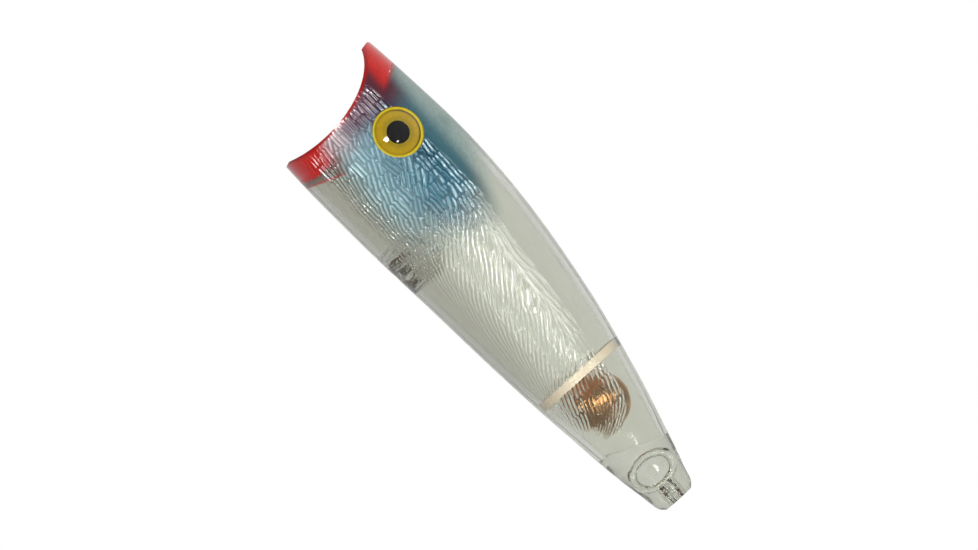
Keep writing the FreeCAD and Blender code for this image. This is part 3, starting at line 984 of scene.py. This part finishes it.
def dress_iris(thing, socket):
    # Yellow, paler on the rim, with a dark crescent of painted shade just inside the upper part of the rim.
    points = vertex_array(thing) - np.array(socket.translation)
    across_disc = points @ np.array(socket.to_3x3())
    radius = np.hypot(across_disc[:, 0], across_disc[:, 1])
    upper = smooth(-0.3, 0.8, np.cos(np.arctan2(points[:, 2], points[:, 0]) - math.radians(75)))
    coat = np.tile(IRIS_YELLOW, (len(points), 1))
    coat = mix(coat, INNER_YELLOW, smooth(2.0, 1.5, radius))
    coat = mix(coat, RIM_YELLOW, smooth(2.66, 2.74, radius))
    crescent_shade = smooth(2.36, 2.52, radius) * smooth(2.74, 2.68, radius)
    coat = mix(coat, CRESCENT_SHADE_OLIVE, crescent_shade * (0.3 + 0.65 * upper))
    write_colour(thing, "coat", coat)


IRIS = painted("iris_lacquer", 2200, 0.5, 0.0)
PUPIL = coloured("pupil_lacquer", linear(22, 22, 26), 0.2, 1500, 0.8)
LENS = lens_material()


def build_eye(word, side):
    # The iris disc, the pupil in its well and the clear dome, whose flat underside is glued down.
    socket = eye_matrix(side, EYE_SINK)
    seat = eye_matrix(side, EYE_SINK - IRIS_THICKNESS - 0.02)
    iris = turned(f"eye_iris_{word}_look", iris_outline(), socket, 128)
    dress_iris(iris, socket)
    low, high = IRIS_THICKNESS - PUPIL_THICKNESS, IRIS_THICKNESS + 0.01
    pupil = turned(f"eye_pupil_{word}_look", bar_outline(PUPIL_RADIUS, low, high), socket, 96)
    outline = dome_outline(EYE_RADIUS - 0.34, DOME_SKIRT, DOME_HEIGHT)
    dome = turned(f"eye_dome_{word}_look", outline, seat, 128)
    for piece, material in ((iris, IRIS), (pupil, PUPIL), (dome, LENS)):
        finish_mesh(piece, 40)
        piece.data.materials.append(material)
        eye_pieces.append(stands_for(piece, "lure_body", piece.name.removesuffix("_look")))
    dome.data.materials.append(WELD)
    inward = -socket.col[2].to_3d()
    for face in dome.data.polygons:
        face.material_index = int(face.normal.dot(inward) > 0.9)


for word, side in (("left", -1), ("right", 1)):
    build_eye(word, side)

# Stage: a pale floor that fades out towards grazing views, soft lamps, a white surround

FLOOR_REACH, FLOOR_GAP = 1.2, 0.0004


def floor_paper():
    # Pale paper with a fine grain, clear where it is seen at a low angle.
    material, tree = new_material("floor_paper")
    facing = tree.nodes.new("ShaderNodeLayerWeight")
    facing.inputs["Blend"].default_value = 0.5
    grain = noise(tree, tree.nodes.new("ShaderNodeTexCoord"), 400)
    paper = principled(tree, Base_Color=(0.9, 0.9, 0.89, 1), Roughness=0.7)
    tree.links.new(bump(tree, grain.outputs["Fac"], 0.05, 0.0002), paper.inputs["Normal"])
    clear = tree.nodes.new("ShaderNodeBsdfTransparent")
    blend = tree.nodes.new("ShaderNodeMixShader")
    tree.links.new(ramp(tree, facing.outputs["Facing"], 0.64, 0.77, 0.0, 1.0), blend.inputs["Fac"])
    tree.links.new(paper.outputs[0], blend.inputs[1])
    tree.links.new(clear.outputs[0], blend.inputs[2])
    output(tree, blend.outputs[0])
    return material


def lay_floor():
    level = float(CAD_LOW[2]) - FLOOR_GAP
    corners = [(x, y, level) for x, y in ((-1, -1), (1, -1), (1, 1), (-1, 1))]
    corners = [(FLOOR_REACH * x, FLOOR_REACH * y, z) for x, y, z in corners]
    floor = make("floor", corners, [(0, 1, 2, 3)])
    floor.data.materials.append(floor_paper())
    floor.visible_glossy = False
    floor.visible_transmission = False
    floor.visible_diffuse = False
    return floor


# The camera looks straight at the left side, turned so that the nose is at the upper left.
ROLL = math.radians(48.0)
VIEW_MIDDLE = Vector((0.0297 - LENGTH / 1000, 0, 0.00104))
VIEW_DISTANCE, VIEW_LENS, SENSOR = 0.9534, 300, 36
LAMP_REACH = 0.42
RIGHT = Vector((math.cos(ROLL), 0, math.sin(ROLL)))
UP = Vector((-math.sin(ROLL), 0, math.cos(ROLL)))
BACK = Vector((0, -1, 0))


def set_camera():
    data = bpy.data.cameras.new("camera")
    data.lens = VIEW_LENS
    data.sensor_width = SENSOR
    data.clip_start, data.clip_end = 0.01, 20
    camera = bpy.data.objects.new("camera", data)
    bpy.context.scene.collection.objects.link(camera)
    turn = Matrix((RIGHT, UP, BACK)).transposed().to_4x4()
    camera.matrix_world = Matrix.Translation(VIEW_MIDDLE + BACK * VIEW_DISTANCE) @ turn
    bpy.context.scene.camera = camera


def square_lamp(name, place, way, size, glow, lights_only=()):
    # A square lamp that shines against way, on all pieces or only on some.
    data = bpy.data.lights.new(name, "AREA")
    data.shape = "SQUARE"
    data.size = size
    data.energy = glow * math.pi * size * size
    thing = bpy.data.objects.new(name, data)
    bpy.context.scene.collection.objects.link(thing)
    thing.matrix_world = towards(place, way)
    if lights_only:
        group = bpy.data.collections.new(f"{name}_lights")
        for piece in lights_only:
            group.objects.link(piece)
        thing.light_linking.receiver_collection = group
    return thing


def lamp(name, left_right, down_up, distance, size, glow, lights_only=()):
    # A square lamp seen from the object at these angles (degrees) from the camera's direction.
    a, b = math.radians(left_right), math.radians(down_up)
    way = (RIGHT * math.sin(a) + UP * math.sin(b) + BACK * math.cos(a) * math.cos(b)).normalized()
    return square_lamp(name, VIEW_MIDDLE + way * distance, way, size, glow, lights_only)


def light_stage(floor):
    # The far shell is left out of most lamps, because its inner face would mirror them.
    near = [thing for thing in hull_pieces if thing.name != "right_shell_look"]
    inner = eye_pieces + [ball, bulkhead]
    lamp("key", -16, 0, LAMP_REACH, 0.10, 19, near + inner)
    lamp("catch", -16, -2, LAMP_REACH, 0.09, 16, eye_pieces)
    lamp("catch_low", 18, -6, 0.38, 0.04, 34, eye_pieces)
    lamp("fill", 14, -4, LAMP_REACH, 0.24, 46, [ball])
    lamp("fill_disc", 17, -5, LAMP_REACH, 0.09, 60, [bulkhead])
    lamp("ridge_high", 20, 25, LAMP_REACH, 0.05, 14, near)
    lamp("ridge_top", 35, 21, LAMP_REACH, 0.12, 5.5, near)
    lamp("head_low", -15, -11, LAMP_REACH, 0.045, 18, near)
    lamp("ridge_left", -26, 9, LAMP_REACH, 0.05, 30, near)
    lamp("ridge_low", -8, 12, LAMP_REACH, 0.025, 60, near)
    away = Vector((0.25, 0.6, 0.76))
    far_pieces = [thing for thing in hull_pieces if thing.name != "left_shell_look"]
    far_side = square_lamp("far_side", VIEW_MIDDLE + away * LAMP_REACH, away, 0.2, 8, far_pieces + eye_pieces)
    far_side.visible_transmission = False
    square_lamp("roof", Vector((0, 0, 1.0)), Vector((0, 0, 1)), 1.5, 0.5, [floor])
    soft = lamp("soft", -5, 30, 0.8, 0.6, 2.0)
    soft.visible_glossy = False
    soft.visible_transmission = False


def surround():
    # White to the camera. To other rays it is dark behind the camera and bright beyond the object.
    world = bpy.data.worlds.new("studio")
    bpy.context.scene.world = world
    world.use_nodes = True
    tree = world.node_tree
    tree.nodes.clear()
    ray = tree.nodes.new("ShaderNodeLightPath")
    way = tree.nodes.new("ShaderNodeTexCoord")
    split = tree.nodes.new("ShaderNodeSeparateXYZ")
    tree.links.new(way.outputs["Generated"], split.inputs[0])
    beyond = split.outputs["Y"]
    glow = math_node(
        tree, "ADD", ramp(tree, beyond, -0.6, 0.7, 0.05, 0.85), ramp(tree, beyond, 0.80, 0.985, 0.0, 0.10)
    )
    # Light that has crossed the clear body towards the near side is brighter, for views from behind.
    crossed = math_node(
        tree, "MULTIPLY", ray.outputs["Is Transmission Ray"], ramp(tree, beyond, -0.2, -0.9, 0.0, 0.6)
    )
    around = tree.nodes.new("ShaderNodeBackground")
    tree.links.new(math_node(tree, "ADD", glow, crossed), around.inputs["Strength"])
    seen = tree.nodes.new("ShaderNodeBackground")
    seen.inputs["Color"].default_value = (1, 1, 1, 1)
    choose = tree.nodes.new("ShaderNodeMixShader")
    tree.links.new(ray.outputs["Is Camera Ray"], choose.inputs["Fac"])
    tree.links.new(around.outputs[0], choose.inputs[1])
    tree.links.new(seen.outputs[0], choose.inputs[2])
    final = tree.nodes.new("ShaderNodeOutputWorld")
    tree.links.new(choose.outputs[0], final.inputs["Surface"])


light_stage(lay_floor())
set_camera()
surround()

scene = bpy.context.scene
scene.view_settings.view_transform = "Standard"
scene.cycles.max_bounces = 24
scene.cycles.transmission_bounces = 20
scene.cycles.transparent_max_bounces = 24
scene.cycles.glossy_bounces = 6
scene.cycles.diffuse_bounces = 4
scene.cycles.use_denoising = True
